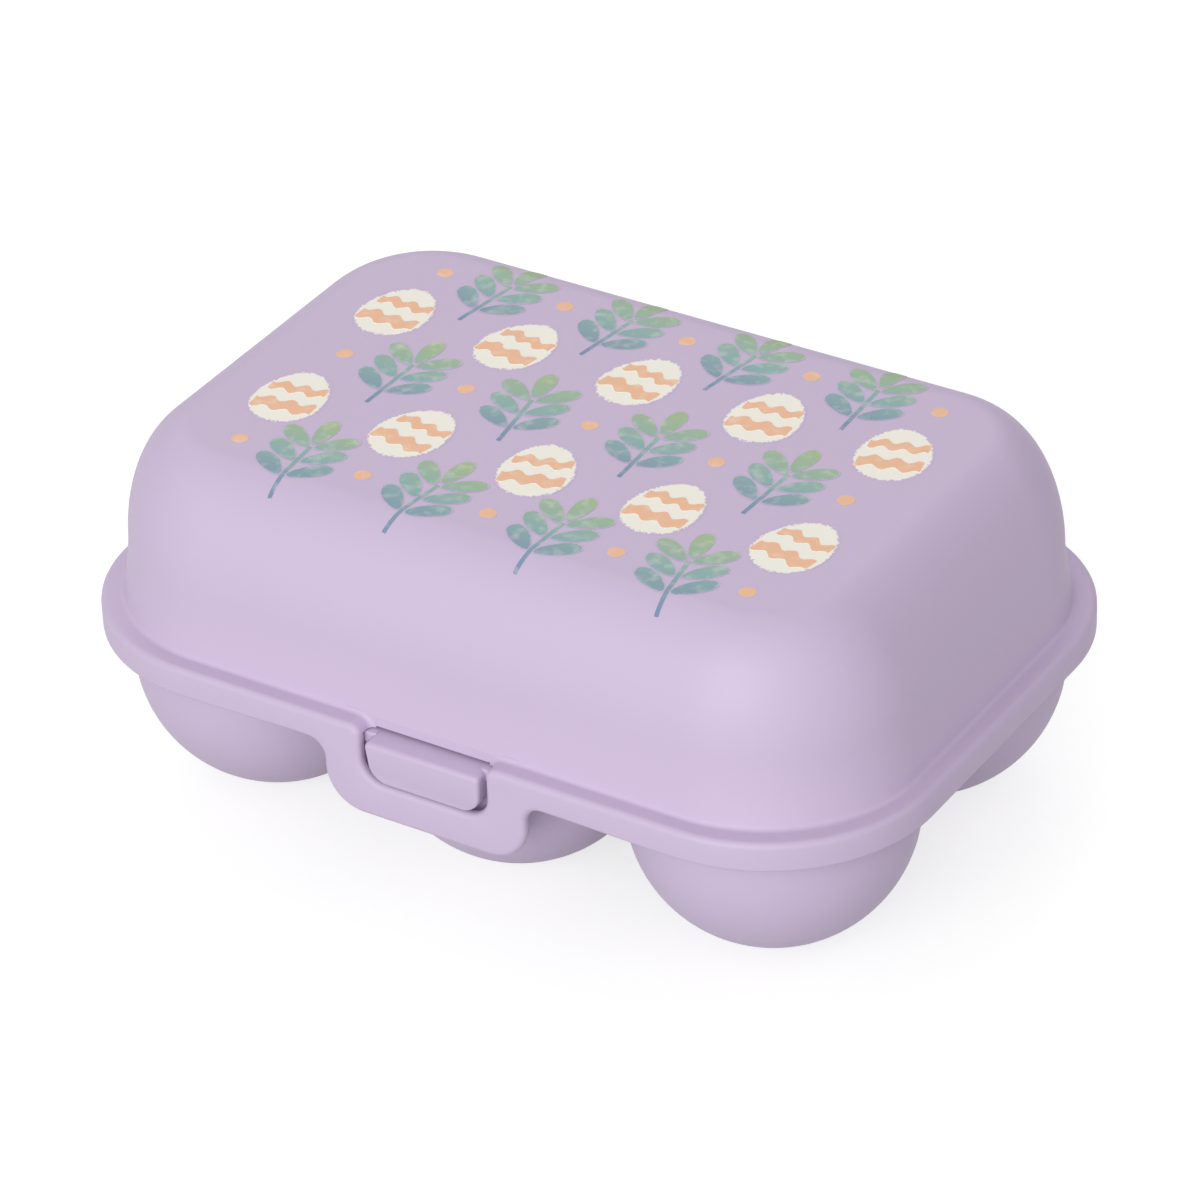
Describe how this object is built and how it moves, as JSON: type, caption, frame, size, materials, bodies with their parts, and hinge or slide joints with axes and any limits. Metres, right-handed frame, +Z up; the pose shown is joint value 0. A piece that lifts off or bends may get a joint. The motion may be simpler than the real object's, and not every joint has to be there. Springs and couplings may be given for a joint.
{
  "type": "egg box",
  "caption": "Hinged egg box: a tray of round egg cups under a domed lid with a skirted rim, closed at the front by a springy tab whose window snaps over a catch.",
  "frame": {"origin": "on the table under the middle of the bounding box, midway between the catch's face and the back of the hinge lugs", "axes": "+X along the row of three cups, +Y from the latch to the hinge, +Z up"},
  "size_m": [0.1606, 0.1185, 0.0686],
  "materials": {
    "lilac_plastic": "fine matt moulded polypropylene in pale lilac",
    "hinge_pin": "smooth moulded pin in lilac"
  },
  "bodies": {
    "base": {"egg_cup_front_left": "lilac_plastic", "egg_cup_front_middle": "lilac_plastic", "egg_cup_front_right": "lilac_plastic", "egg_cup_back_left": "lilac_plastic", "egg_cup_back_middle": "lilac_plastic", "egg_cup_back_right": "lilac_plastic", "tray_deck": "lilac_plastic", "latch_catch": "lilac_plastic", "hinge_pin_left": "hinge_pin", "hinge_pin_right": "hinge_pin"},
    "lid": {"lid_shell": "lilac_plastic"},
    "tab": {"latch_tab": "lilac_plastic"}
  },
  "joints": [
    {"name": "lid_hinge", "type": "hinge", "parent": "base", "child": "lid", "pos_m": [0, 0.05605, 0.03005], "axis": [-1, 0, 0], "range_deg": [0, 110]},
    {"name": "latch_flex", "type": "hinge", "parent": "lid", "child": "tab", "pos_m": [0, -0.05875, 0.0337], "axis": [-1, 0, 0], "range_deg": [0, 20], "stiffness_Nm_per_rad": 0.3}
  ]
}
